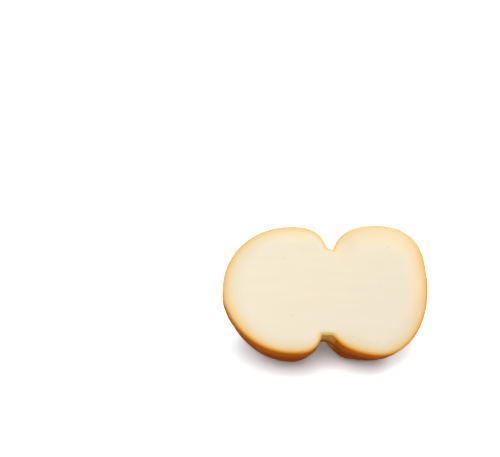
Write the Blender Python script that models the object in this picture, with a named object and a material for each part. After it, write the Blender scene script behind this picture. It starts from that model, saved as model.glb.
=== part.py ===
"""Half of a smoked scamorza, a stretched cheese tied at the waist, cut lengthwise.

The whole cheese is shaped first, along its long axis X, with the cut plane at z = 0 and the
cut face looking up +Z. It is then cut, leaned back into its resting pose, stood on two small
flat spots of its rind, and centred over the origin. Units are metres.
"""

import math
from typing import NamedTuple

import bmesh
import bpy
import numpy as np
from mathutils import Matrix, Vector, noise

MM = 0.001

NODE_NAME = "scamorza_half"
COLLECTION_NAME = "smoked_scamorza"


class Lobe(NamedTuple):
    """The outline of one lobe, seen from one side of the long axis."""

    peak: float  # place of its widest point along the long axis
    radius: float  # distance of that point from the axis
    waist_reach: float  # how far from the peak the inner flank would meet the axis
    waist_power: float  # how late the inner flank turns down
    end_power: float  # how late the outer flank turns down
    end_root: float  # how bluntly the outer flank meets the axis


class Outline(NamedTuple):
    """Both lobes and the tied waist between them, at one angle round the long axis."""

    angle: float  # 0 is the top, and a quarter turn is the back
    left: Lobe
    right: Lobe
    waist_radius: float
    waist_slope: float  # how fast the waist widens towards the right


# Outlines of the whole cheese, from the top over the back to the bottom
LEFT_END = -55.0 * MM
RIGHT_END = 52.0 * MM
TOP = Outline(
    angle=0,
    left=Lobe(-17.2 * MM, 38.1 * MM, 19.3 * MM, 2.2, 2.1, 2.1),
    right=Lobe(26.1 * MM, 31.1 * MM, 23.9 * MM, 3.9, 2.3, 3.0),
    waist_radius=24.1 * MM,
    waist_slope=-0.55,
)
BACK = Outline(
    angle=math.radians(90),
    left=Lobe(-21.0 * MM, 36.0 * MM, 19.0 * MM, 2.5, 2.1, 1.9),
    right=Lobe(24.0 * MM, 36.5 * MM, 21.5 * MM, 2.4, 2.0, 2.0),
    waist_radius=22.5 * MM,
    waist_slope=0,
)
UNDER = Outline(
    angle=math.radians(152),
    left=Lobe(-17.9 * MM, 34.5 * MM, 17.5 * MM, 1.7, 2.1, 1.5),
    right=Lobe(22.2 * MM, 41.4 * MM, 26.6 * MM, 1.6, 1.9, 1.9),
    waist_radius=27.6 * MM,
    waist_slope=0.4,
)
BOTTOM = Outline(
    angle=math.radians(184),
    left=Lobe(-18.1 * MM, 32.1 * MM, 14.7 * MM, 3.5, 2.2, 1.6),
    right=Lobe(23.9 * MM, 41.0 * MM, 26.2 * MM, 1.4, 2.05, 2.0),
    waist_radius=25.7 * MM,
    waist_slope=0.27,
)
FULL_TURN = 2 * math.pi
OUTLINES = (TOP, BACK, UNDER, BOTTOM, TOP._replace(angle=FULL_TURN))
WAIST_ROOT = 4.0
WAIST_BLEND = 0.5 * MM

# The long axis wanders a little, and the string was tied slightly askew
LEFT_AXIS_HEIGHT = -1.2 * MM
RIGHT_AXIS_HEIGHT = 5.9 * MM
WAIST_LEAN = 2.2 * MM
LEAN_REACH = 18 * MM

# The knife ran in front of the axis, which bows towards the cut at both ends
CUT_OFFSET = 4.8 * MM
BOW_PLACE = -10.4 * MM
BOW_DEPTH = 3.4 * MM
BOW_REACH = 50 * MM
LEAST_OFFSET = 0.8 * MM
OFFSET_BLEND = 0.3 * MM
CUT_SNAP = 0.05 * MM

# Resting pose
FACE_ELEVATION = math.radians(56)
AXIS_ROLL = math.radians(-3.5)
FLAT_SPOT_DEPTH = 1.7 * MM

# Rind relief, where each swell is given by where it starts, is full, begins to fall and ends
RELIEF_SEED = Vector((4.7, 1.3, 8.2))
RIM_CALM_DEPTH = 20 * MM
LUMP_DEPTH = 1.2 * MM
LUMP_SIZE = 24 * MM
PLEAT_COUNT = 14
PLEAT_DEPTH = 1.9 * MM
PLEAT_SWELL = (0, 6 * MM, 12 * MM, 24 * MM)
PLEAT_SHARPNESS = 3
PLEAT_DRIFTS = 3
PLEAT_DRIFT_SIZE = 0.9
PUCKER_COUNT = 15
PUCKER_DEPTH = 0.5 * MM
PUCKER_SWELL = (3.2 * MM, 6.5 * MM, 6.5 * MM, 13 * MM)
PUCKER_DRIFTS = 2
PUCKER_DRIFT_SIZE = 2
FLAP_HEIGHT = 2.8 * MM
FLAP_SWELL = (0, 1.6 * MM, 1.6 * MM, 15 * MM)
FLAP_END_SHARE = 0.25
FLAP_JAG = 1.5 * MM
FLAP_JAG_SIZE = 7 * MM
FLAP_START = (12 * MM, math.radians(24))
FLAP_FINISH = (40 * MM, math.radians(104))
MEAN_RADIUS = 34 * MM

# Mesh density
SEGMENT_COUNT = 92
RING_COUNT = 92
WAIST_RING_DENSITY = 1.6
WAIST_DENSITY_REACH = 8 * MM
PROFILE_SAMPLES = 4001
LEAST_CUT_CORNERS = 9


def flank(distance, reach, power, root):
    """Falls from 1 at no distance to 0 at the reach."""
    share = np.clip(distance / reach, 0, 1)
    return np.clip(1 - share**power, 0, 1) ** (1 / root)


def lobe_radius(station, lobe, end):
    """The lobe's distance from the axis at each station along it."""
    outward = (station - lobe.peak) * math.copysign(1, end)
    outer = flank(outward, abs(end - lobe.peak), lobe.end_power, lobe.end_root)
    inner = flank(-outward, lobe.waist_reach, lobe.waist_power, WAIST_ROOT)
    return lobe.radius * np.where(outward > 0, outer, inner)


def outline_radius(station, outline):
    """Distance of an outline from the axis, with the string's waist between the lobes."""
    left = lobe_radius(station, outline.left, LEFT_END)
    right = lobe_radius(station, outline.right, RIGHT_END)
    lobes = np.maximum(left, right)
    waist = outline.waist_radius + outline.waist_slope * station
    tied = WAIST_BLEND * np.logaddexp(lobes / WAIST_BLEND, waist / WAIST_BLEND)
    between = (station > outline.left.peak) & (station < outline.right.peak)
    return np.where(between, tied, lobes)


def smooth_step(value, start, finish):
    """Rises smoothly from 0 at the start to 1 at the finish."""
    share = np.clip((value - start) / (finish - start), 0, 1)
    return share * share * (3 - 2 * share)


def swell(value, start, risen, falling, finish):
    """Rises from 0 at the start to 1, and falls back to 0 at the finish."""
    return smooth_step(value, start, risen) * (1 - smooth_step(value, falling, finish))


def waist_lean(station):
    """How far the top of a section leans to the right, because the string is askew."""
    return WAIST_LEAN * np.exp(-((station / LEAN_REACH) ** 2))


def axis_height(station):
    share = smooth_step(station, TOP.left.peak, TOP.right.peak)
    return LEFT_AXIS_HEIGHT + (RIGHT_AXIS_HEIGHT - LEFT_AXIS_HEIGHT) * share


def cut_offset(station):
    """How far the cut plane lies in front of the long axis."""
    bowed = CUT_OFFSET - BOW_DEPTH * ((station - BOW_PLACE) / BOW_REACH) ** 2
    return OFFSET_BLEND * np.logaddexp(bowed / OFFSET_BLEND, LEAST_OFFSET / OFFSET_BLEND)


def section_radius(station, angle):
    """Distance from the axis, blended round it from one outline to the next."""
    lean = waist_lean(station)
    turned = np.mod(angle, FULL_TURN)
    radius = outline_radius(station + lean * math.cos(TOP.angle), TOP)
    for before, after in zip(OUTLINES, OUTLINES[1:]):
        reached = outline_radius(station + lean * math.cos(after.angle), after)
        radius = radius + (reached - radius) * smooth_step(turned, before.angle, after.angle)
    return radius


def surface_points(station, angle):
    """Points of the plain whole cheese. Angle 0 is the top, and a quarter turn is the back."""
    radius = section_radius(station, angle)
    x = station + waist_lean(station) * np.cos(angle)
    y = axis_height(station) + radius * np.cos(angle)
    z = -cut_offset(station) - radius * np.sin(angle)
    return np.column_stack([x, y, z])


def ring_stations(count):
    """Stations of the rings, evenly spaced over the rind and closer together at the waist."""
    turn = np.linspace(0, math.pi, PROFILE_SAMPLES)
    station = (LEFT_END + RIGHT_END) / 2 - (RIGHT_END - LEFT_END) / 2 * np.cos(turn)
    radius = outline_radius(station, BACK)
    density = 1 + WAIST_RING_DENSITY * np.exp(-((station / WAIST_DENSITY_REACH) ** 2))
    middle_density = (density[1:] + density[:-1]) / 2
    length = np.hypot(np.diff(station), np.diff(radius)) * middle_density
    travelled = np.concatenate([[0], np.cumsum(length)])
    return np.interp(np.linspace(0, travelled[-1], count + 1), travelled, station)


def lump_relief(points):
    """Soft uneven swells over the whole rind."""
    return np.array([LUMP_DEPTH * noise.noise(Vector(p) / LUMP_SIZE + RELIEF_SEED) for p in points])


def pleat_relief(points, angle):
    """Pleats that gather towards the left end, where the curd was closed."""
    inside = swell(points[:, 0] - LEFT_END, *PLEAT_SWELL)
    phase = PLEAT_COUNT * angle + PLEAT_DRIFT_SIZE * np.sin(PLEAT_DRIFTS * angle)
    return -PLEAT_DEPTH * inside * np.abs(np.sin(phase / 2)) ** PLEAT_SHARPNESS


def pucker_relief(points, angle):
    """Short wrinkles that run up both flanks of the waist from the string."""
    inside = swell(np.abs(points[:, 0]), *PUCKER_SWELL)
    phase = PUCKER_COUNT * angle + PUCKER_DRIFT_SIZE * np.sin(PUCKER_DRIFTS * angle)
    return PUCKER_DEPTH * inside * np.sin(phase)


def flap_relief(points, angle):
    """A fold of curd that laps over the right lobe's back and ends in a jagged edge."""
    along_x = FLAP_FINISH[0] - FLAP_START[0]
    along_y = (FLAP_FINISH[1] - FLAP_START[1]) * MEAN_RADIUS
    length = math.hypot(along_x, along_y)
    from_x = points[:, 0] - FLAP_START[0]
    from_y = (angle - FLAP_START[1]) * MEAN_RADIUS
    along = (from_x * along_x + from_y * along_y) / length
    across = (from_x * along_y - from_y * along_x) / length
    jag = np.array([noise.noise(Vector((a / FLAP_JAG_SIZE, 0, 0)) + RELIEF_SEED) for a in along])
    lip = swell(across + FLAP_JAG * jag, *FLAP_SWELL)
    end = FLAP_END_SHARE * length
    return FLAP_HEIGHT * lip * swell(along, 0, end, length - end, length)


def rind_relief(points, angle):
    """Height of the rind's lumps, pleats and folds, calm where the knife met it."""
    calm = smooth_step(-points[:, 2], 0, RIM_CALM_DEPTH)
    relief = lump_relief(points) + pleat_relief(points, angle)
    relief += pucker_relief(points, angle) + flap_relief(points, angle)
    return calm * relief


def whole_cheese():
    """The whole cheese as a sphere's mesh, pushed out to its outlines and its relief."""
    mesh = bmesh.new()
    poles_along_x = Matrix.Rotation(math.pi / 2, 4, "Y")
    bmesh.ops.create_uvsphere(
        mesh, u_segments=SEGMENT_COUNT, v_segments=RING_COUNT, radius=1, matrix=poles_along_x
    )
    unit = np.array([vert.co for vert in mesh.verts])
    ring = np.arccos(np.clip(-unit[:, 0], -1, 1)) / math.pi * RING_COUNT
    station = ring_stations(RING_COUNT)[np.rint(ring).astype(int)]
    angle = np.arctan2(-unit[:, 2], unit[:, 1])
    angle = np.where(angle < -math.pi / 2, angle + 2 * math.pi, angle)
    points = surface_points(station, angle)
    for vert, point in zip(mesh.verts, points):
        vert.co = point
    mesh.normal_update()
    for vert, height in zip(mesh.verts, rind_relief(points, angle)):
        vert.co += vert.normal * height
    return mesh


def cut_flat(mesh, point, normal):
    """Removes what lies beyond a plane and closes the cut with one flat face."""
    everything = mesh.verts[:] + mesh.edges[:] + mesh.faces[:]
    bmesh.ops.bisect_plane(
        mesh, geom=everything, dist=CUT_SNAP, plane_co=point, plane_no=normal, clear_outer=True
    )
    rim = [edge for edge in mesh.edges if edge.is_boundary]
    bmesh.ops.holes_fill(mesh, edges=rim, sides=0)


def lay_down(mesh):
    """Leans the half back on its rind, as it rests, and gives it flat spots at z = 0."""
    lean_back = Matrix.Rotation(math.pi / 2 - FACE_ELEVATION, 4, "X")
    roll = Matrix.Rotation(AXIS_ROLL, 4, "Z")
    mesh.transform(lean_back @ roll)
    lowest = min(vert.co.z for vert in mesh.verts)
    mesh.transform(Matrix.Translation((0, 0, -lowest - FLAT_SPOT_DEPTH)))
    cut_flat(mesh, (0, 0, 0), (0, 0, -1))


def centre_over_origin(mesh):
    """Puts the middle of the half's bounding box over the origin, with its base at z = 0."""
    corners = np.array([vert.co for vert in mesh.verts])
    middle = (corners.min(axis=0) + corners.max(axis=0)) / 2
    mesh.transform(Matrix.Translation((-middle[0], -middle[1], 0)))


def rind_material():
    """Satin smoked rind."""
    material = bpy.data.materials.new("smoked_rind")
    material.use_nodes = True
    shader = material.node_tree.nodes["Principled BSDF"]
    shader.inputs["Base Color"].default_value = (0.56, 0.24, 0.045, 1)
    shader.inputs["Roughness"].default_value = 0.42
    shader.inputs["Metallic"].default_value = 0
    return material


def paste_material():
    """Moist ivory paste of the cut face."""
    material = bpy.data.materials.new("ivory_paste")
    material.use_nodes = True
    shader = material.node_tree.nodes["Principled BSDF"]
    shader.inputs["Base Color"].default_value = (0.87, 0.78, 0.59, 1)
    shader.inputs["Roughness"].default_value = 0.5
    shader.inputs["Metallic"].default_value = 0
    return material


def build():
    mesh = whole_cheese()
    cut_flat(mesh, (0, 0, 0), (0, 0, 1))
    lay_down(mesh)
    centre_over_origin(mesh)
    for face in mesh.faces:
        cut_or_flat = len(face.verts) >= LEAST_CUT_CORNERS
        face.material_index = 1 if cut_or_flat and face.normal.z > 0 else 0
        face.smooth = not cut_or_flat
    data = bpy.data.meshes.new(NODE_NAME)
    mesh.to_mesh(data)
    mesh.free()
    data.materials.append(rind_material())
    data.materials.append(paste_material())
    cheese = bpy.data.objects.new(NODE_NAME, data)
    collection = bpy.data.collections.new(COLLECTION_NAME)
    bpy.context.scene.collection.children.link(collection)
    collection.objects.link(cheese)


for leftover in list(bpy.data.objects):
    bpy.data.objects.remove(leftover, do_unlink=True)
build()
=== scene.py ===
"""Looks of the smoked scamorza half: its rind, its cut face, the floor, the light and the camera."""

import math
from typing import NamedTuple

import bmesh
import bpy
import numpy as np
from mathutils import Matrix, Vector, kdtree, noise


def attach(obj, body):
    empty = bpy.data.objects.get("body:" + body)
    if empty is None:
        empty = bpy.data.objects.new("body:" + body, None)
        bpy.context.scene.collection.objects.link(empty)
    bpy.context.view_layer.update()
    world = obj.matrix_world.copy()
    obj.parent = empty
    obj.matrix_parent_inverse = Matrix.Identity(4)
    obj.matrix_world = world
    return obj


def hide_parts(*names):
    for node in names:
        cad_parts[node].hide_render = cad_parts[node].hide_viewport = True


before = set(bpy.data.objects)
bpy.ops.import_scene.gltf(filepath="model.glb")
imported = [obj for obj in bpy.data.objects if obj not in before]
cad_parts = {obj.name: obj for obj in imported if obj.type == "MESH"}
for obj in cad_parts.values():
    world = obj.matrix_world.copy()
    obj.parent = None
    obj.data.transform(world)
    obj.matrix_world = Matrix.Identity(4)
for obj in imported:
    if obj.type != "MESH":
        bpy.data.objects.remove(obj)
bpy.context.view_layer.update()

MM = 0.001
NODE_NAME = "scamorza_half"


class Lobe(NamedTuple):
    """The outline of one lobe, seen from one side of the long axis."""

    peak: float  # place of its widest point along the long axis
    radius: float  # distance of that point from the axis
    waist_reach: float  # how far from the peak the inner flank would meet the axis
    waist_power: float  # how late the inner flank turns down
    end_power: float  # how late the outer flank turns down
    end_root: float  # how bluntly the outer flank meets the axis


class Outline(NamedTuple):
    """Both lobes and the tied waist between them, at one angle round the long axis."""

    angle: float  # 0 is the top, and a quarter turn is the back
    left: Lobe
    right: Lobe
    waist_radius: float
    waist_slope: float  # how fast the waist widens towards the right


# The solid's own form, repeated here so that the finer mesh keeps it
LEFT_END = -55.0 * MM
RIGHT_END = 52.0 * MM
TOP = Outline(
    angle=0,
    left=Lobe(-17.2 * MM, 38.1 * MM, 19.3 * MM, 2.2, 2.1, 2.1),
    right=Lobe(26.1 * MM, 31.1 * MM, 23.9 * MM, 3.9, 2.3, 3.0),
    waist_radius=24.1 * MM,
    waist_slope=-0.55,
)
BACK = Outline(
    angle=math.radians(90),
    left=Lobe(-21.0 * MM, 36.0 * MM, 19.0 * MM, 2.5, 2.1, 1.9),
    right=Lobe(24.0 * MM, 36.5 * MM, 21.5 * MM, 2.4, 2.0, 2.0),
    waist_radius=22.5 * MM,
    waist_slope=0,
)
UNDER = Outline(
    angle=math.radians(152),
    left=Lobe(-17.9 * MM, 34.5 * MM, 17.5 * MM, 1.7, 2.1, 1.5),
    right=Lobe(22.2 * MM, 41.4 * MM, 26.6 * MM, 1.6, 1.9, 1.9),
    waist_radius=27.6 * MM,
    waist_slope=0.4,
)
BOTTOM = Outline(
    angle=math.radians(184),
    left=Lobe(-18.1 * MM, 32.1 * MM, 14.7 * MM, 3.5, 2.2, 1.6),
    right=Lobe(23.9 * MM, 41.0 * MM, 26.2 * MM, 1.4, 2.05, 2.0),
    waist_radius=25.7 * MM,
    waist_slope=0.27,
)
FULL_TURN = 2 * math.pi
OUTLINES = (TOP, BACK, UNDER, BOTTOM, TOP._replace(angle=FULL_TURN))
WAIST_ROOT = 4.0
WAIST_BLEND = 0.5 * MM
ROUND_TIP_REACH = 0.3 * MM
LEFT_AXIS_HEIGHT = -1.2 * MM
RIGHT_AXIS_HEIGHT = 5.9 * MM
WAIST_LEAN = 2.2 * MM
LEAN_REACH = 18 * MM
CUT_OFFSET = 4.8 * MM
BOW_PLACE = -10.4 * MM
BOW_DEPTH = 3.4 * MM
BOW_REACH = 50 * MM
LEAST_OFFSET = 0.8 * MM
OFFSET_BLEND = 0.3 * MM
FACE_ELEVATION = math.radians(56)
AXIS_ROLL = math.radians(-3.5)
CUT_ORIGIN = Vector((1.222, -5.898, 38.361)) * MM

# The solid's relief, where each swell is given by where it starts, is full, begins to fall and ends
RELIEF_SEED = Vector((4.7, 1.3, 8.2))
RIM_CALM_DEPTH = 20 * MM
LUMP_DEPTH = 1.2 * MM
LUMP_SIZE = 24 * MM
PLEAT_COUNT = 14
PLEAT_DEPTH = 1.9 * MM
PLEAT_SWELL = (0, 6 * MM, 12 * MM, 24 * MM)
PLEAT_SHARPNESS = 3
PLEAT_DRIFTS = 3
PLEAT_DRIFT_SIZE = 0.9
PUCKER_COUNT = 15
PUCKER_DEPTH = 0.5 * MM
PUCKER_SWELL = (3.2 * MM, 6.5 * MM, 6.5 * MM, 13 * MM)
PUCKER_DRIFTS = 2
PUCKER_DRIFT_SIZE = 2
FLAP_HEIGHT = 2.8 * MM
FLAP_SWELL = (0, 1.6 * MM, 1.6 * MM, 15 * MM)
FLAP_LIP = (0, 1.6 * MM, 1.6 * MM, 4 * MM)
FLAP_END_SHARE = 0.25
FLAP_JAG = 1.5 * MM
FLAP_JAG_SIZE = 7 * MM
FLAP_START = (12 * MM, math.radians(24))
FLAP_FINISH = (40 * MM, math.radians(104))
MEAN_RADIUS = 34 * MM
BODY_HEIGHT = 58 * MM

# Fine relief that only this mesh carries
STRING_PITCH = 0.66 * MM
STRING_DEPTH = 0.1 * MM
STRING_REACH = 4.2 * MM
STRING_FULL_SHARE = 0.7
STRING_SHADE = (2.4 * MM, 4.6 * MM)
WRINKLE_DEPTH = 0.1 * MM
WRINKLE_LENGTH = 7 * MM
WRINKLE_WIDTH = 1.6 * MM
DIMPLE_DEPTH = 0.16 * MM
DIMPLE_SIZE = 5 * MM
FACE_WAVE_DEPTH = 0.1 * MM
FACE_WAVE_SIZE = 13 * MM
FACE_WAVE_STRETCH = (0.5, 1, 1)

# The mesh
RING_COUNT = 340
WAIST_RING_DENSITY = 2.4
WAIST_DENSITY_REACH = 6 * MM
END_RING_DENSITY = 3.0
END_DENSITY_REACH = 0.8 * MM
PROFILE_SAMPLES = 6001
ROW_COUNT = 150
RIM_RADIUS = 0.6 * MM
RIM_ROWS = 6
BACK_INSET = 0.4 * MM
FINE_CALM_DEPTH = 4 * MM
FACE_INSETS = [0.5 * MM, 1.1 * MM, 1.8 * MM, 2.7 * MM, 3.8 * MM]
FACE_ROW_COUNT = 56
FLOOR_SOFTNESS = 0.25 * MM
WELD_DISTANCE = 0.002 * MM
DEPTH_PASSES = 8
STEEPEST_SINE = 0.7
TINY = 1e-12
RIND_SLOT, PASTE_SLOT = 0, 1

# The gold that the smoke left under the rind, on the cut face
GOLD_REACH = 9 * MM
GOLD_NOTCH = (4.5 * MM, 15 * MM)
GOLD_NOTCH_SHARE = 0.3
GOLD_TOP_LOSS = 0.1
GOLD_RIGHT_TOP_LOSS = 0.1
GOLD_TOP_SPREAD = 0.6
GOLD_TIP_GAIN = 0.25
GOLD_UNEVENNESS = ((0.18, 9 * MM), (0.08, 3 * MM))  # amounts and sizes

# Where light and shade are painted on the cut face and the rind
SHADE_DIRECTION = np.array((0.45, -0.9, 0))
SHADE_SPAN = (-25 * MM, 45 * MM)
LIT_DIRECTION = np.array((0.85, 0.8, 0))
LIT_NOTCH_SHARE = 0.8
RIM_GLOW_DEPTH = 12 * MM
UNDERSIDE_TURN = (0.3, 0.95)
UNDERSIDE_TIP = (1 * MM, 9 * MM)
UNDERSIDE_DEPTH = (-12 * MM, -5 * MM)

# Rind looks: colours as read off a screen, or shares, at places along a ramp
SMOKED = [(0.3, (244, 162, 70)), (0.5, (251, 178, 89)), (0.72, (255, 194, 111))]
# Painted light and shade on the rind under the cut face: dark brown further from the rim, bright orange
# near it
UNDERSIDE_LIGHT_AND_SHADE = [
    (0.0, (188, 92, 14)),
    (0.17, (172, 78, 4)),
    (0.37, (194, 86, 2)),
    (0.58, (232, 116, 4)),
    (0.79, (246, 128, 6)),
    (0.93, (252, 154, 16)),
]
WAIST_BAND = [
    (0.0, (244, 178, 92)),
    (0.15, (164, 104, 52)),
    (0.37, (244, 160, 80)),
    (0.58, (255, 196, 98)),
    (0.8, (255, 204, 112)),
    (0.92, (255, 216, 128)),
    (1.0, (250, 200, 116)),
]
# The gold edge at the cut face, with painted light that makes it paler the more it faces up
RIM_EDGE_AND_PAINTED_LIGHT = [(0.0, (240, 170, 62)), (0.3, (240, 178, 90)), (0.9, (243, 205, 140))]
FIBRE_TINT = [(0.35, (232, 214, 190)), (0.65, (255, 255, 255))]
FIBRE_TINT_SHARE = 0.5
LIP_COLOUR = (255, 190, 104)
LIP_SHARE = 0.6
# Painted shade: the lower the rind lies, the more it takes the underside's darker colours
LOW_SHADE_FADE = [(0.2, 1), (0.85, 0)]
WAIST_BAND_FADE = [(0.0, 0.45), (0.5, 0.95)]
RIM_EDGE_FADE = [(0.73, 0), (0.9, 0.25), (0.96, 0.7), (1.0, 1)]
RIND_ROUGHNESS = [(0.3, 0.36), (0.7, 0.5)]
PATCH_SCALE = 38
FIBRE_SCALE = (260, 1500, 1)
FIBRE_HEIGHT = 0.12 * MM
PORE_SCALE = 900
PORE_HEIGHT = 0.06 * MM
ROUGHNESS_SCALE = 90

# Paste looks, given in the same way
IVORY = [(0.3, (239, 228, 200)), (0.7, (242, 232, 206))]
IVORY_CLOUD = (244, 229, 205)
CLOUD_SHARE = 0.3
# Painted shade towards the bottom right of the cut face
IVORY_SHADE = (234, 220, 199)
SHADE_SHARE = 0.6
GOLD_RING = [
    (0.0, (240, 229, 203)),
    (0.3, (239, 227, 199)),
    (0.54, (238, 223, 190)),
    (0.66, (238, 219, 179)),
    (0.77, (238, 213, 160)),
    (0.89, (238, 201, 130)),
    (0.95, (237, 188, 112)),
    (1.0, (232, 168, 88)),
]
GOLD_RING_FADE = [(0.0, 0), (0.4, 1)]
# Painted shade at the bottom right of the gold ring, and painted light at its top and right
RING_SHADE = (0.92, 0.9, 0.92, 1)
RING_LIGHT = (1.11, 1.05, 0.99, 1)
# Painted shade: tiny pits drawn only as darker spots, with no hollow
PIT_SHADE_COLOUR = (190, 160, 110)
PIT_FADE = [(0.005, 0.35), (0.014, 0)]
PIT_SCALE = 26
GRAIN_SCALE = (28, 240, 240)
CLOUD_SCALE = 30
STREAK_SCALE = (90, 900, 900)
STREAK_HEIGHT = 0.04 * MM

# Studio light and floor
LIGHT_TARGET = (0, 0, 0.03)
SKY_STRENGTH = 0.4
KEY_PLACE = (-0.3, -1.1, 2.3)
KEY_SIZE = 2.4
KEY_POWER = 46.9
BACK_PLACE = (1.05, 1.0, 0.8)
BACK_SIZE = 0.7
BACK_POWER = 9
FLOOR_TONE = (1.37, 1.48, 1.52)
FLOOR_GLOW = 0.11
FLOOR_BOUNCE_TONE = 0.4
FLOOR_HALF_SIZE = 6

# The photograph's camera
PHOTO_WIDTH = 500
PHOTO_HEIGHT = 457
LENS_MM = 85
SENSOR_MM = 36
CAMERA_ELEVATION = math.radians(32)
CAMERA_TURN = math.radians(7)
CAMERA_DISTANCE = 610.1 * MM
CAMERA_CLIP = 10 * MM
CUT_ORIGIN_PIXEL = (329.0, 291.0)


def flank(distance, reach, power, root):
    """Falls from 1 at no distance to 0 at the reach."""
    share = np.clip(distance / reach, 0, 1)
    return np.clip(1 - share**power, 0, 1) ** (1 / root)


def lobe_radius(station, lobe, end):
    """The lobe's distance from the axis at each station along it."""
    outward = (station - lobe.peak) * math.copysign(1, end)
    outer = flank(outward, abs(end - lobe.peak), lobe.end_power, lobe.end_root)
    inner = flank(-outward, lobe.waist_reach, lobe.waist_power, WAIST_ROOT)
    return lobe.radius * np.where(outward > 0, outer, inner)


def outline_radius(station, outline):
    """Distance of an outline from the axis, with the string's waist between the lobes."""
    left = lobe_radius(station, outline.left, LEFT_END)
    right = lobe_radius(station, outline.right, RIGHT_END)
    lobes = np.maximum(left, right)
    waist = outline.waist_radius + outline.waist_slope * station
    tied = WAIST_BLEND * np.logaddexp(lobes / WAIST_BLEND, waist / WAIST_BLEND)
    between = (station > outline.left.peak) & (station < outline.right.peak)
    return np.where(between, tied, lobes)


def smooth_step(value, start, finish):
    """Rises smoothly from 0 at the start to 1 at the finish."""
    share = np.clip((value - start) / (finish - start), 0, 1)
    return share * share * (3 - 2 * share)


def swell(value, start, risen, falling, finish):
    """Rises from 0 at the start to 1, and falls back to 0 at the finish."""
    return smooth_step(value, start, risen) * (1 - smooth_step(value, falling, finish))


def waist_lean(station):
    """How far the top of a section leans to the right, because the string is askew."""
    return WAIST_LEAN * np.exp(-((station / LEAN_REACH) ** 2))


def axis_height(station):
    """The long axis steps up from the left lobe to the right one."""
    share = smooth_step(station, TOP.left.peak, TOP.right.peak)
    return LEFT_AXIS_HEIGHT + (RIGHT_AXIS_HEIGHT - LEFT_AXIS_HEIGHT) * share


def cut_offset(station):
    """How far the cut plane lies in front of the long axis."""
    bowed = CUT_OFFSET - BOW_DEPTH * ((station - BOW_PLACE) / BOW_REACH) ** 2
    return OFFSET_BLEND * np.logaddexp(bowed / OFFSET_BLEND, LEAST_OFFSET / OFFSET_BLEND)


def section_radius(station, angle):
    """Distance from the axis, blended round it from one outline to the next."""
    lean = waist_lean(station)
    turned = np.mod(angle, FULL_TURN)
    radius = outline_radius(station + lean * math.cos(TOP.angle), TOP)
    for before, after in zip(OUTLINES, OUTLINES[1:]):
        reached = outline_radius(station + lean * math.cos(after.angle), after)
        radius = radius + (reached - radius) * smooth_step(turned, before.angle, after.angle)
    from_end = np.minimum(station - LEFT_END, RIGHT_END - station)
    roundness = np.exp(-from_end / ROUND_TIP_REACH)
    return radius + (outline_radius(station, BACK) - radius) * roundness


def surface_points(station, angle):
    """Points of the plain whole cheese. Angle 0 is the top, and a quarter turn is the back."""
    radius = section_radius(station, angle)
    x = station + waist_lean(station) * np.cos(angle)
    y = axis_height(station) + radius * np.cos(angle)
    z = -cut_offset(station) - radius * np.sin(angle)
    return np.stack([x, y, z], axis=-1)


def ring_stations(count):
    """Stations of the rings, evenly spaced over the rind and closer together at the waist."""
    turn = np.linspace(0, math.pi, PROFILE_SAMPLES)
    station = (LEFT_END + RIGHT_END) / 2 - (RIGHT_END - LEFT_END) / 2 * np.cos(turn)
    radius = outline_radius(station, BACK)
    density = 1 + WAIST_RING_DENSITY * np.exp(-((station / WAIST_DENSITY_REACH) ** 2))
    from_end = np.minimum(station - LEFT_END, RIGHT_END - station)
    density += END_RING_DENSITY * np.exp(-from_end / END_DENSITY_REACH)
    middle_density = (density[1:] + density[:-1]) / 2
    length = np.hypot(np.diff(station), np.diff(radius)) * middle_density
    travelled = np.concatenate([[0], np.cumsum(length)])
    return np.interp(np.linspace(0, travelled[-1], count + 1), travelled, station)


def noise_values(points, size, seed=RELIEF_SEED):
    """Smooth noise at each point, from about -1 to 1, with features of the given size."""
    flat = points.reshape(-1, 3) / size
    values = np.array([noise.noise(Vector(p) + seed) for p in flat])
    return values.reshape(points.shape[:-1])


def lump_relief(points):
    """Soft uneven swells over the whole rind."""
    return LUMP_DEPTH * noise_values(points, LUMP_SIZE)


def pleat_relief(points, angle):
    """Pleats that gather towards the left end, where the curd was closed."""
    inside = swell(points[..., 0] - LEFT_END, *PLEAT_SWELL)
    phase = PLEAT_COUNT * angle + PLEAT_DRIFT_SIZE * np.sin(PLEAT_DRIFTS * angle)
    return -PLEAT_DEPTH * inside * np.abs(np.sin(phase / 2)) ** PLEAT_SHARPNESS


def pucker_relief(points, angle):
    """Short wrinkles that run up both flanks of the waist from the string."""
    inside = swell(np.abs(points[..., 0]), *PUCKER_SWELL)
    phase = PUCKER_COUNT * angle + PUCKER_DRIFT_SIZE * np.sin(PUCKER_DRIFTS * angle)
    return PUCKER_DEPTH * inside * np.sin(phase)


def flap_shares(points, angle):
    """Height of the folded flap and of its jagged lip, each from 0 to 1."""
    along_x = FLAP_FINISH[0] - FLAP_START[0]
    along_y = (FLAP_FINISH[1] - FLAP_START[1]) * MEAN_RADIUS
    length = math.hypot(along_x, along_y)
    from_x = points[..., 0] - FLAP_START[0]
    from_y = (angle - FLAP_START[1]) * MEAN_RADIUS
    along = (from_x * along_x + from_y * along_y) / length
    across = (from_x * along_y - from_y * along_x) / length
    along_points = np.stack([along, np.zeros_like(along), np.zeros_like(along)], axis=-1)
    across = across + FLAP_JAG * noise_values(along_points, FLAP_JAG_SIZE)
    end = FLAP_END_SHARE * length
    ends = swell(along, 0, end, length - end, length)
    return swell(across, *FLAP_SWELL) * ends, swell(across, *FLAP_LIP) * ends


def solid_relief(points, angle):
    """Height of the rind's lumps, pleats and folds, calm where the knife met it."""
    calm = smooth_step(-points[..., 2], 0, RIM_CALM_DEPTH)
    relief = lump_relief(points) + pleat_relief(points, angle)
    relief += pucker_relief(points, angle) + FLAP_HEIGHT * flap_shares(points, angle)[0]
    return calm * relief


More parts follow.
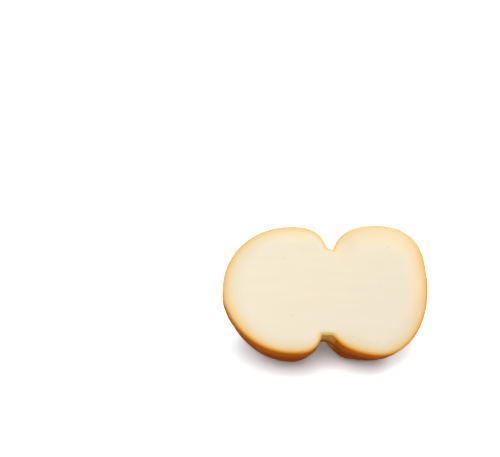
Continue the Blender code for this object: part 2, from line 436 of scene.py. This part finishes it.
def fine_relief(points, station, angle):
    """Height of the string's imprint, the fine wrinkles and the small dimples."""
    from_string = np.abs(station)
    at_string = 1 - smooth_step(from_string, STRING_REACH * STRING_FULL_SHARE, STRING_REACH)
    imprint = STRING_DEPTH * at_string * np.cos(2 * math.pi * station / STRING_PITCH)
    around = angle * MEAN_RADIUS / WRINKLE_WIDTH
    unrolled = np.stack([station / WRINKLE_LENGTH, around, np.zeros_like(angle)], axis=-1)
    wrinkles = WRINKLE_DEPTH * (1 - at_string) * noise_values(unrolled, 1)
    dimples = DIMPLE_DEPTH * noise_values(points, DIMPLE_SIZE)
    return imprint + wrinkles + dimples


def grid_normals(points):
    """Unit outward normals of a grid of points, rings by rows."""
    along = np.gradient(points, axis=0)
    around = np.gradient(points, axis=1)
    normal = np.cross(along, around)
    length = np.linalg.norm(normal, axis=-1, keepdims=True)
    return normal / np.maximum(length, TINY)


def angles_at_depth(station, depth):
    """Angles at which each ring lies at a depth behind the cut plane, at the top and at the bottom."""
    top = np.zeros_like(station)
    bottom = np.full_like(station, math.pi)
    for _ in range(DEPTH_PASSES):
        top_sine = (depth - cut_offset(station)) / np.maximum(section_radius(station, top), TINY)
        bottom_sine = (depth - cut_offset(station)) / np.maximum(section_radius(station, bottom), TINY)
        top = np.arcsin(np.clip(top_sine, -1, STEEPEST_SINE))
        bottom = math.pi - np.arcsin(np.clip(bottom_sine, -1, STEEPEST_SINE))
    return top, bottom


def reaches_plane(station):
    """Whether each ring reaches the cut plane. The rings beyond the face close behind it."""
    return section_radius(station, np.full_like(station, -math.pi / 2)) > cut_offset(station)


def rind_grid():
    """Stations, angles and plain points of the rind, rings by rows, from rim to rim."""
    station = ring_stations(RING_COUNT)
    depths = np.linspace(0, RIM_RADIUS, RIM_ROWS)
    near = [angles_at_depth(station, depth) for depth in depths]
    top_rows = [top for top, bottom in near]
    bottom_rows = [bottom for top, bottom in near[::-1]]
    start, finish = top_rows[-1], bottom_rows[0]
    between = [start + (finish - start) * share for share in np.linspace(0, 1, ROW_COUNT)[1:-1]]
    angle = np.stack(top_rows + between + bottom_rows, axis=1)
    closed = ~reaches_plane(station)
    angle[closed, 0] = -math.pi / 2
    angle[closed, -1] = 3 * math.pi / 2
    stations = np.repeat(station[:, None], angle.shape[1], axis=1)
    return stations, angle, surface_points(stations, angle)


def rim_loop(points):
    """The rim's points in order, over the top from left to right and back along the bottom."""
    return np.concatenate([points[:, 0], points[-2:0:-1, -1]])


def outward_in_plane(loop):
    """Unit outward normals of a closed clockwise loop that lies in the cut plane."""
    run = np.roll(loop, -1, axis=0) - np.roll(loop, 1, axis=0)
    normal = np.stack([-run[:, 1], run[:, 0], np.zeros(len(run))], axis=-1)
    return normal / np.maximum(np.linalg.norm(normal, axis=1, keepdims=True), TINY)


def nearest_on(loop, points):
    """Index of the loop's nearest point, and its distance, for each point."""
    tree = kdtree.KDTree(len(loop))
    for index, place in enumerate(loop):
        tree.insert(place, index)
    tree.balance()
    found = [tree.find(point)[1:] for point in points]
    return np.array([item[0] for item in found]), np.array([item[1] for item in found])


def round_rim(points, loop, outward):
    """Pulls the rind in near the cut plane, so that the rim is a small quarter round."""
    depth = -points[..., 2]
    band = depth < RIM_RADIUS
    index, _ = nearest_on(loop, points[band] * (1, 1, 0))
    share = 1 - np.clip(depth[band] / RIM_RADIUS, 0, 1)
    points[band] -= outward[index] * (RIM_RADIUS * share * share)[:, None]
    return points


def close_tips(points, angle, faced):
    """Joins the two ends of every ring that doesn't reach the cut plane, and the poles."""
    for ring in [*range(faced.start + 1), *range(faced.stop - 1, len(points))]:
        at_seam = (angle[ring] <= -math.pi / 2) | (angle[ring] >= 3 * math.pi / 2)
        points[ring, at_seam] = points[ring, 0]
    points[0] = points[0].mean(axis=0)
    points[-1] = points[-1].mean(axis=0)
    return points


def face_grid(points, outward):
    """Points of the cut face, rings by rows: inset loops at both rims and plain rows between."""
    ring_total = len(points)
    top_out = outward[:ring_total]
    going_back = outward[ring_total - 1:]
    bottom_out = np.concatenate([outward[:1], going_back[::-1]])
    top, bottom = points[:, 0], points[:, -1]
    layers = [top] + [top - top_out * inset for inset in FACE_INSETS]
    closing = [bottom - bottom_out * inset for inset in reversed(FACE_INSETS)] + [bottom]
    start, finish = layers[-1], closing[0]
    for share in np.linspace(0, 1, FACE_ROW_COUNT)[1:-1]:
        layers.append(start + (finish - start) * share)
    return np.stack(layers + closing, axis=1)


def face_relief(points, rim_distance):
    """Faint waves that the knife left, calm at the rim."""
    calm = smooth_step(rim_distance, 0, FACE_INSETS[-1])
    return FACE_WAVE_DEPTH * calm * noise_values(points * FACE_WAVE_STRETCH, FACE_WAVE_SIZE)


def underside_shade_share(points, angle):
    """Where painted shade darkens the strip of rind under the cut face, from 0 to 1."""
    facing_down = smooth_step(-np.cos(angle), *UNDERSIDE_TURN)
    near_face = smooth_step(points[..., 2], *UNDERSIDE_DEPTH)
    off_tip = smooth_step(points[..., 0] - LEFT_END, *UNDERSIDE_TIP)
    return facing_down * near_face * off_tip


def away_from_notches(points):
    """Rises from 0 at the floors of the two notches to 1 out on the lobes."""
    middle = np.argmin(np.abs(points[:, 0, 0]))
    notches = points[middle, [0, -1]]
    from_notch = np.linalg.norm(points[..., None, :] - notches, axis=-1).min(axis=-1)
    return smooth_step(from_notch, *GOLD_NOTCH)


def lit_share(points, rim_outward):
    """How much painted light lightens the gold: most at the top and the right, and some at the upper
    notch.
    """
    away = away_from_notches(points)
    at_upper_notch = (1 - away) * (points[..., 1] > 0)
    return np.clip(rim_outward @ LIT_DIRECTION, 0, 1) * away + LIT_NOTCH_SHARE * at_upper_notch


def gold_share(points, rim_distance, rim_outward):
    """How gold the paste is: most at the rim, less at the notches and the top, uneven along the way."""
    strength = GOLD_NOTCH_SHARE + (1 - GOLD_NOTCH_SHARE) * away_from_notches(points)
    at_top = np.clip(rim_outward[..., 1], 0, 1)
    at_right_top = at_top * smooth_step(points[..., 0], 0, GOLD_NOTCH[1])
    uneven = 1 + sum(amount * noise_values(points, size) for amount, size in GOLD_UNEVENNESS)
    widened = 1 + GOLD_TIP_GAIN * rim_outward[..., 0] ** 2 + GOLD_TOP_SPREAD * at_right_top
    share = np.clip(1 - rim_distance / (GOLD_REACH * strength * uneven * widened), 0, 1)
    return share * (1 - GOLD_TOP_LOSS * at_top - GOLD_RIGHT_TOP_LOSS * at_right_top)


def resting_place():
    """The turn and shift that take the cheese from its cut plane to where the solid lies."""
    lean_back = Matrix.Rotation(math.pi / 2 - FACE_ELEVATION, 4, "X")
    roll = Matrix.Rotation(AXIS_ROLL, 4, "Z")
    return Matrix.Translation(CUT_ORIGIN) @ lean_back @ roll


def laid_down(points):
    """Points in the frame, with what would lie below the floor pressed flat on it."""
    place = np.array(resting_place())
    laid = points @ place[:3, :3].T + place[:3, 3]
    height = laid[..., 2] / FLOOR_SOFTNESS
    laid[..., 2] = FLOOR_SOFTNESS * np.logaddexp(0, height)
    return laid


def add_layers(mesh):
    """Named layers that the materials read.

    place and around are where a point is before it is laid down, as it is and unrolled round the
    axis. The shares are how high the point lies, how gold the paste is, how much of the flap's lip
    it is, how near the cut face, how much painted light lightens it, how much the string covered it
    and how much painted shade darkens it.
    """
    vectors = ("place", "around")
    shares = ("height", "gold", "lip", "rim", "lit", "tied", "shade")
    layers = {name: mesh.verts.layers.float_vector.new(name) for name in vectors}
    layers.update({name: mesh.verts.layers.float.new(name) for name in shares})
    return layers


def add_grid(mesh, points, material, layers, values):
    """Adds a grid of quads and gives its points their values in the named layers."""
    laid = laid_down(points)
    values = {**values, "height": laid[..., 2] / BODY_HEIGHT}
    rows = []
    for ring in range(len(points)):
        row = []
        for step in range(points.shape[1]):
            vert = mesh.verts.new(laid[ring, step])
            for name, layer in layers.items():
                vert[layer] = values[name][ring, step]
            row.append(vert)
        rows.append(row)
    for left, right in zip(rows, rows[1:]):
        for step in range(len(left) - 1):
            quad = mesh.faces.new((left[step], right[step], right[step + 1], left[step + 1]))
            quad.material_index = material
            quad.smooth = True


def raised_rind(plain, station, angle):
    """The rind with all its relief, still sharp where the knife met it."""
    fine = fine_relief(plain, station, angle) - BACK_INSET
    fine = fine * smooth_step(-plain[..., 2], RIM_RADIUS, FINE_CALM_DEPTH)
    relief = solid_relief(plain, angle) + fine
    rind = plain + grid_normals(plain) * relief[..., None]
    rind[..., 2] = np.minimum(rind[..., 2], 0)
    return rind


def rind_values(plain, rind, station, angle):
    """What the layers hold on the rind."""
    return {
        "place": rind,
        "around": np.stack([station, angle * MEAN_RADIUS, np.zeros_like(angle)], axis=-1),
        "gold": np.ones_like(angle),
        "lip": flap_shares(plain, angle)[1],
        "rim": np.clip(1 + plain[..., 2] / RIM_GLOW_DEPTH, 0, 1),
        # On the rind, lit is how much it faces up, for the painted light on its edge
        "lit": np.clip(np.cos(angle), 0, 1),
        "tied": 1 - smooth_step(np.abs(station), *STRING_SHADE),
        # On the rind, shade is where painted shade darkens the strip under the cut face
        "shade": underside_shade_share(plain, angle),
    }


def face_values(face, rim_distance, rim_outward):
    """What the layers hold on the cut face."""
    nothing = np.zeros(face.shape[:2])
    return {
        "place": face,
        "around": face,
        "gold": gold_share(face, rim_distance, rim_outward),
        "lip": nothing,
        "rim": np.ones(face.shape[:2]),
        # On the cut face, lit is painted light on the gold and shade is painted shade towards the
        # bottom right
        "lit": lit_share(face, rim_outward),
        "tied": nothing,
        "shade": smooth_step(face @ SHADE_DIRECTION, *SHADE_SPAN),
    }


def finished_rind(plain, station, angle):
    """The rind with its rounded rim, the rings that the cut face spans, and the rim's normals."""
    ringed = np.flatnonzero(reaches_plane(station[:, 0]))
    faced = slice(ringed[0] - 1, ringed[-1] + 2)
    plain[faced, 0, 2] = 0
    plain[faced, -1, 2] = 0
    rind = raised_rind(plain, station, angle)
    outward = outward_in_plane(rim_loop(rind[faced]))
    rind = round_rim(rind, rim_loop(rind[faced]), outward)
    return close_tips(rind, angle, faced), faced, outward


def cut_face(faced_rind, outward):
    """The cut face between its rims, and what its layers hold."""
    face = face_grid(faced_rind, outward)
    nearest, distance = nearest_on(rim_loop(faced_rind), face.reshape(-1, 3))
    distance = distance.reshape(face.shape[:2])
    face[..., 2] += face_relief(face, distance)
    return face, face_values(face, distance, outward[nearest].reshape(face.shape))


def make_cheese():
    """The whole half as one closed mesh: rind, rounded rim and cut face."""
    station, angle, plain = rind_grid()
    rind, faced, outward = finished_rind(plain, station, angle)
    face, on_face = cut_face(rind[faced], outward)
    mesh = bmesh.new()
    layers = add_layers(mesh)
    add_grid(mesh, rind, RIND_SLOT, layers, rind_values(plain, rind, station, angle))
    flipped = {name: value[:, ::-1] for name, value in on_face.items()}
    add_grid(mesh, face[:, ::-1], PASTE_SLOT, layers, flipped)
    bmesh.ops.remove_doubles(mesh, verts=mesh.verts[:], dist=WELD_DISTANCE)
    bmesh.ops.recalc_face_normals(mesh, faces=mesh.faces[:])
    return add_object("scamorza_half_looks", mesh)


def add_object(name, mesh):
    """Puts a bmesh into the scene as an object."""
    data = bpy.data.meshes.new(name)
    mesh.to_mesh(data)
    mesh.free()
    piece = bpy.data.objects.new(name, data)
    bpy.context.scene.collection.objects.link(piece)
    return piece


def linear(red, green, blue):
    """A colour as read off a screen, from 0 to 255, in the renderer's linear values."""
    shares = [value / 255 for value in (red, green, blue)]
    return (*[s / 12.92 if s <= 0.04045 else ((s + 0.055) / 1.055) ** 2.4 for s in shares], 1)


class Nodes:
    """A material's node tree, with short calls that add and join nodes."""

    def __init__(self, name):
        self.material = bpy.data.materials.new(name)
        self.material.use_nodes = True
        self.tree = self.material.node_tree
        self.shader = self.tree.nodes["Principled BSDF"]

    def add(self, kind, settings=None, **inputs):
        node = self.tree.nodes.new(kind)
        for name, value in (settings or {}).items():
            setattr(node, name, value)
        for name, value in inputs.items():
            self.feed(node.inputs[name.replace("_", " ")], value)
        return node

    def feed(self, socket, value):
        if isinstance(value, bpy.types.NodeSocket):
            self.tree.links.new(value, socket)
        else:
            socket.default_value = value

    def place(self, name):
        """A layer that holds places."""
        return self.add("ShaderNodeAttribute", {"attribute_name": name}).outputs["Vector"]

    def share(self, name):
        """A layer that holds shares from 0 to 1."""
        return self.add("ShaderNodeAttribute", {"attribute_name": name}).outputs["Fac"]

    def noise(self, vector, scale, detail):
        node = self.add("ShaderNodeTexNoise", Vector=vector, Scale=scale, Detail=detail)
        return node.outputs["Fac"]

    def stretch(self, vector, scale):
        return self.add("ShaderNodeMapping", Vector=vector, Scale=scale).outputs["Vector"]

    def ramp(self, factor, stops):
        """Colours along the factor. A stop is a place and a colour as read off a screen."""
        return self.graded(factor, [(place, linear(*colour)) for place, colour in stops])

    def fade(self, factor, stops):
        """Shares along the factor. A stop is a place and a share."""
        return self.graded(factor, [(place, (share, share, share, 1)) for place, share in stops])

    def graded(self, factor, stops):
        node = self.add("ShaderNodeValToRGB", Fac=factor)
        elements = node.color_ramp.elements
        while len(elements) < len(stops):
            elements.new(1)
        for element, (place, colour) in zip(elements, stops):
            element.position = place
            element.color = colour
        return node.outputs["Color"]

    def mix(self, factor, first, second, blend="MIX"):
        """Two colours mixed. The Mix node's colours are its inputs 6 and 7 and its output 2."""
        node = self.add("ShaderNodeMix", {"data_type": "RGBA", "blend_type": blend})
        self.feed(node.inputs["Factor"], factor)
        self.feed(node.inputs[6], first)
        self.feed(node.inputs[7], second)
        return node.outputs[2]

    def math(self, operation, first, second):
        """The two numbers joined by one of the Math node's operations."""
        node = self.add("ShaderNodeMath", {"operation": operation})
        self.feed(node.inputs[0], first)
        self.feed(node.inputs[1], second)
        return node.outputs[0]

    def bump(self, height, distance, strength=1.0, normal=None):
        node = self.add("ShaderNodeBump", Height=height, Distance=distance, Strength=strength)
        if normal is not None:
            self.feed(node.inputs["Normal"], normal)
        return node.outputs["Normal"]


def smoked_colour_and_painted_shade(nodes, fibres):
    """Golden rind in soft patches, painted browner for shade where it lies low and on the strip under
    the cut face, with a paler lip on the flap.
    """
    patches = nodes.noise(nodes.place("place"), PATCH_SCALE, detail=2)
    smoked = nodes.ramp(patches, SMOKED)
    # Painted shade, darker where the rind lies low and on the strip under the cut face
    low = nodes.fade(nodes.share("height"), LOW_SHADE_FADE)
    low = nodes.math("MAXIMUM", low, nodes.share("shade"))
    shaded = nodes.mix(low, smoked, nodes.ramp(nodes.share("rim"), UNDERSIDE_LIGHT_AND_SHADE))
    tinted = nodes.mix(FIBRE_TINT_SHARE, shaded, nodes.ramp(fibres, FIBRE_TINT), "MULTIPLY")
    on_lip = nodes.math("MULTIPLY", nodes.share("lip"), LIP_SHARE)
    return nodes.mix(on_lip, tinted, linear(*LIP_COLOUR))


def rind_colour(nodes, fibres):
    """The smoked rind, with the pale band that the string covered and the edge at the cut face, which
    painted light makes paler towards the top.
    """
    rim = nodes.share("rim")
    under_string = nodes.math("MULTIPLY", nodes.share("tied"), nodes.fade(rim, WAIST_BAND_FADE))
    band = nodes.ramp(rim, WAIST_BAND)
    rind = nodes.mix(under_string, smoked_colour_and_painted_shade(nodes, fibres), band)
    # Painted light: the edge is paler the more it faces up
    edge = nodes.mix(under_string, nodes.ramp(nodes.share("lit"), RIM_EDGE_AND_PAINTED_LIGHT), band)
    return nodes.mix(nodes.fade(rim, RIM_EDGE_FADE), rind, edge)


def rind_material():
    """Satin smoked rind with a fine fibrous skin."""
    nodes = Nodes("smoked_rind")
    place = nodes.place("place")
    fibres = nodes.noise(nodes.stretch(nodes.place("around"), FIBRE_SCALE), 1, detail=3)
    nodes.feed(nodes.shader.inputs["Base Color"], rind_colour(nodes, fibres))
    rough = nodes.fade(nodes.noise(place, ROUGHNESS_SCALE, detail=3), RIND_ROUGHNESS)
    nodes.feed(nodes.shader.inputs["Roughness"], rough)
    skin = nodes.bump(fibres, FIBRE_HEIGHT, 0.5)
    pores = nodes.noise(place, PORE_SCALE, detail=2)
    nodes.feed(nodes.shader.inputs["Normal"], nodes.bump(pores, PORE_HEIGHT, 0.5, skin))
    nodes.shader.inputs["Subsurface Weight"].default_value = 0.6
    nodes.shader.inputs["Subsurface Radius"].default_value = (1.0, 0.5, 0.15)
    nodes.shader.inputs["Subsurface Scale"].default_value = 4 * MM
    nodes.shader.inputs["Specular IOR Level"].default_value = 0.03
    nodes.shader.inputs["Specular Tint"].default_value = (1, 0.62, 0.22, 1)
    return nodes.material


def ivory_colour(nodes, place, shade):
    """Ivory with faint drawn-out fibres and soft clouds, and painted shade towards the bottom right."""
    grain = nodes.noise(nodes.stretch(place, GRAIN_SCALE), 1, detail=4)
    cloud = nodes.math("MULTIPLY", nodes.noise(place, CLOUD_SCALE, detail=1), CLOUD_SHARE)
    clouded = nodes.mix(cloud, nodes.ramp(grain, IVORY), linear(*IVORY_CLOUD))
    return nodes.mix(shade, clouded, linear(*IVORY_SHADE))


def ring_colour(nodes, gold, shade):
    """The gold under the rind, with painted shade at the bottom right and painted light at the top and
    the right.
    """
    shaded = nodes.mix(shade, nodes.ramp(gold, GOLD_RING), RING_SHADE, "MULTIPLY")
    return nodes.mix(nodes.share("lit"), shaded, RING_LIGHT, "MULTIPLY")


def paste_material():
    """Moist ivory paste, gold under the rind, with painted light and shade, and a few tiny pits painted
    darker for their shade.
    """
    nodes = Nodes("ivory_paste")
    place = nodes.place("place")
    gold = nodes.share("gold")
    shade = nodes.math("MULTIPLY", nodes.share("shade"), SHADE_SHARE)
    in_ring = nodes.fade(gold, GOLD_RING_FADE)
    ringed = nodes.mix(in_ring, ivory_colour(nodes, place, shade), ring_colour(nodes, gold, shade))
    flat = {"voronoi_dimensions": "2D"}
    # Painted shade for a few tiny pits, as darker spots
    cells = nodes.add("ShaderNodeTexVoronoi", flat, Vector=place, Scale=PIT_SCALE)
    pits = nodes.fade(cells.outputs["Distance"], PIT_FADE)
    nodes.feed(nodes.shader.inputs["Base Color"], nodes.mix(pits, ringed, linear(*PIT_SHADE_COLOUR)))
    nodes.shader.inputs["Roughness"].default_value = 0.48
    streaks = nodes.noise(nodes.stretch(place, STREAK_SCALE), 1, detail=3)
    nodes.feed(nodes.shader.inputs["Normal"], nodes.bump(streaks, STREAK_HEIGHT, 0.35))
    nodes.shader.inputs["Subsurface Weight"].default_value = 0.2
    nodes.shader.inputs["Subsurface Radius"].default_value = (1.0, 0.7, 0.4)
    nodes.shader.inputs["Subsurface Scale"].default_value = 2 * MM
    nodes.shader.inputs["Specular IOR Level"].default_value = 0.35
    return nodes.material


def dress_cheese():
    """The half's looks, in place of the plain solid."""
    cheese = make_cheese()
    cheese.data.materials.append(rind_material())
    cheese.data.materials.append(paste_material())
    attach(cheese, "root")
    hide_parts(NODE_NAME)


def floor_material():
    """White to the camera, and duller as a reflector, so that it doesn't wash out the underside."""
    nodes = Nodes("white_floor")
    bounce = nodes.add("ShaderNodeBsdfDiffuse", Color=(FLOOR_BOUNCE_TONE,) * 3 + (1,))
    lit = nodes.add("ShaderNodeBsdfDiffuse", Color=(*FLOOR_TONE, 1))
    glow = nodes.add("ShaderNodeEmission", Strength=FLOOR_GLOW)
    white = nodes.add("ShaderNodeAddShader")
    nodes.feed(white.inputs[0], lit.outputs["BSDF"])
    nodes.feed(white.inputs[1], glow.outputs["Emission"])
    seen = nodes.add("ShaderNodeLightPath").outputs["Is Camera Ray"]
    mixed = nodes.add("ShaderNodeMixShader", Fac=seen)
    nodes.feed(mixed.inputs[1], bounce.outputs["BSDF"])
    nodes.feed(mixed.inputs[2], white.outputs["Shader"])
    nodes.feed(nodes.tree.nodes["Material Output"].inputs["Surface"], mixed.outputs["Shader"])
    return nodes.material


def make_floor():
    """A plain white table top, wide enough to fill every view."""
    mesh = bmesh.new()
    bmesh.ops.create_grid(mesh, x_segments=1, y_segments=1, size=FLOOR_HALF_SIZE)
    floor = add_object("floor", mesh)
    floor.data.materials.append(floor_material())


def aimed(location, target):
    """Rotation that points a lamp's or camera's -Z from one place at another."""
    return (Vector(target) - Vector(location)).to_track_quat("-Z", "Y").to_euler()


def add_area_light(name, location, size, power):
    lamp = bpy.data.lights.new(name, "AREA")
    lamp.shape = "DISK"
    lamp.size = size
    lamp.energy = power
    light = bpy.data.objects.new(name, lamp)
    light.location = location
    light.rotation_euler = aimed(location, LIGHT_TARGET)
    bpy.context.scene.collection.objects.link(light)


def light_scene():
    """A bright studio: even white surroundings, a large soft lamp above and a weaker one behind."""
    world = bpy.data.worlds.new("studio")
    world.use_nodes = True
    sky = world.node_tree.nodes["Background"]
    sky.inputs["Color"].default_value = (1, 1, 1, 1)
    sky.inputs["Strength"].default_value = SKY_STRENGTH
    bpy.context.scene.world = world
    add_area_light("key", KEY_PLACE, KEY_SIZE, KEY_POWER)
    add_area_light("back", BACK_PLACE, BACK_SIZE, BACK_POWER)
    bpy.context.scene.view_settings.view_transform = "Standard"


def make_camera():
    """The photograph's view: the cut plane's origin lands on its own pixel."""
    turn, tilt = CAMERA_TURN, CAMERA_ELEVATION
    ahead = Vector((math.sin(turn), math.cos(turn), 0))
    right = Vector((math.cos(turn), -math.sin(turn), 0))
    up = ahead * math.sin(tilt) + Vector((0, 0, math.cos(tilt)))
    toward = Vector((0, 0, math.sin(tilt))) - ahead * math.cos(tilt)
    focal_pixels = LENS_MM / SENSOR_MM * PHOTO_WIDTH
    from_centre = (CUT_ORIGIN_PIXEL[0] - PHOTO_WIDTH / 2, CUT_ORIGIN_PIXEL[1] - PHOTO_HEIGHT / 2)
    ray = right * from_centre[0] - up * from_centre[1] - toward * focal_pixels
    camera_data = bpy.data.cameras.new("camera")
    camera_data.lens = LENS_MM
    camera_data.sensor_width = SENSOR_MM
    camera_data.clip_start = CAMERA_CLIP
    camera = bpy.data.objects.new("camera", camera_data)
    camera.location = CUT_ORIGIN - ray.normalized() * CAMERA_DISTANCE
    camera.rotation_euler = Matrix((right, up, toward)).transposed().to_euler()
    bpy.context.scene.collection.objects.link(camera)
    bpy.context.scene.camera = camera


dress_cheese()
make_floor()
light_scene()
make_camera()
